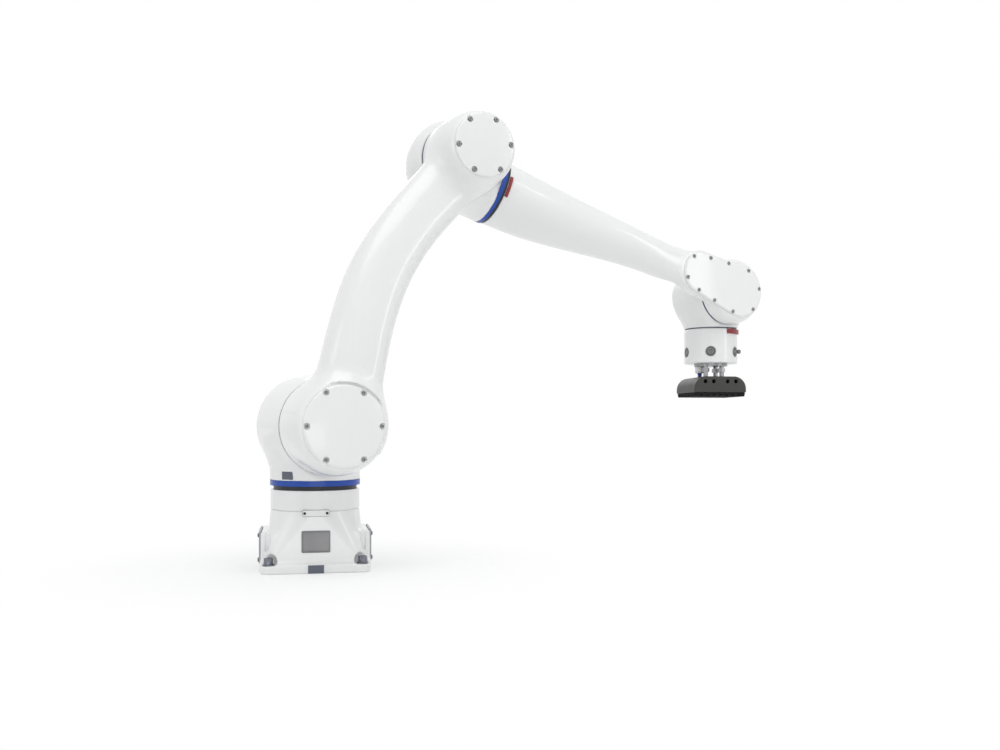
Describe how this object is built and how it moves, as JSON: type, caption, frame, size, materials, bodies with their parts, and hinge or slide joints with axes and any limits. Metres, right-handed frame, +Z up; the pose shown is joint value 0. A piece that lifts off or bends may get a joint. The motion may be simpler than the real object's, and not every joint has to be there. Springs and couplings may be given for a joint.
{
  "type": "six-axis industrial robot arm with vacuum gripper",
  "caption": "White floor-mounted jointed robot arm with blue joint rings, a bowed lower arm, a tapering forearm and a foam vacuum gripper.",
  "frame": {"origin": "centre of the underside of the square foot, on the base's turning axis", "axes": "+Z up along the base's turning axis, -Y the side of the base with the small cover plate, +X to the right of it"},
  "size_m": [1.4607, 0.6801, 1.1679],
  "materials": {
    "white_paint": "smooth gloss white enamel",
    "blue_ring": "gloss blue",
    "black_seal": "matt black",
    "grey_panel": "matt slate grey",
    "red_block": "satin red",
    "bare_steel": "turned bare metal",
    "dark_gripper": "satin charcoal",
    "foam": "matt black cellular foam"
  },
  "bodies": {
    "base": {"base_casting": "white_paint", "base_neck": "white_paint", "base_seal": "black_seal", "neck_cover_plate": "white_paint", "front_pad": "grey_panel", "side_panel_left": "grey_panel", "side_panel_right": "grey_panel"},
    "swivel": {"swivel_ring": "blue_ring", "swivel_housing": "white_paint", "shoulder_ring": "blue_ring", "shoulder_rear_cover": "white_paint"},
    "lower_arm": {"lower_arm_casting": "white_paint", "shoulder_front_cover": "white_paint", "elbow_front_cover": "white_paint"},
    "elbow": {"elbow_ring": "blue_ring", "elbow_housing": "white_paint", "elbow_rear_cover": "white_paint", "roll_ring": "blue_ring", "roll_seal": "black_seal"},
    "forearm": {"forearm_casting": "white_paint", "forearm_stop_block": "red_block", "wrist_side_cover": "white_paint"},
    "wrist": {"wrist_ring": "blue_ring", "wrist_housing": "white_paint", "wrist_rear_cover": "white_paint", "tool_seal": "black_seal"},
    "tool": {"tool_housing": "white_paint", "tool_stop_block": "red_block", "port_front": "bare_steel", "port_left": "bare_steel", "port_right": "bare_steel", "tool_flange": "bare_steel", "gripper_post_a": "bare_steel", "gripper_post_b": "bare_steel", "gripper_post_c": "bare_steel", "gripper_post_d": "bare_steel", "gripper_body": "dark_gripper", "gripper_pad": "foam"}
  },
  "joints": [
    {"name": "base_turn", "type": "hinge", "parent": "base", "child": "swivel", "pos_m": [0, 0, 0.2], "axis": [0, 0, 1], "range_deg": [-193.7, 166.3]},
    {"name": "shoulder_lean", "type": "hinge", "parent": "swivel", "child": "lower_arm", "pos_m": [0, 0, 0.356], "axis": [-0.2368, 0.9715, 0], "range_deg": [-147.3, 92.7]},
    {"name": "elbow_bend", "type": "hinge", "parent": "lower_arm", "child": "elbow", "pos_m": [0.34757, 0.08473, 1.04912], "axis": [0.2368, -0.9715, 0], "range_deg": [-58.7, 221.3]},
    {"name": "forearm_roll", "type": "hinge", "parent": "elbow", "child": "forearm", "pos_m": [0.34757, 0.08473, 1.04912], "axis": [0.9208, 0.2245, -0.319], "range_deg": [-190, 190]},
    {"name": "wrist_bend", "type": "hinge", "parent": "forearm", "child": "wrist", "pos_m": [1.19471, 0.29124, 0.75568], "axis": [-0.2368, 0.9715, 0], "range_deg": [-201.4, 58.6]},
    {"name": "tool_turn", "type": "hinge", "parent": "wrist", "child": "tool", "pos_m": [1.19471, 0.29124, 0.75568], "axis": [0, 0, -1], "range_deg": [-210, 210]}
  ]
}
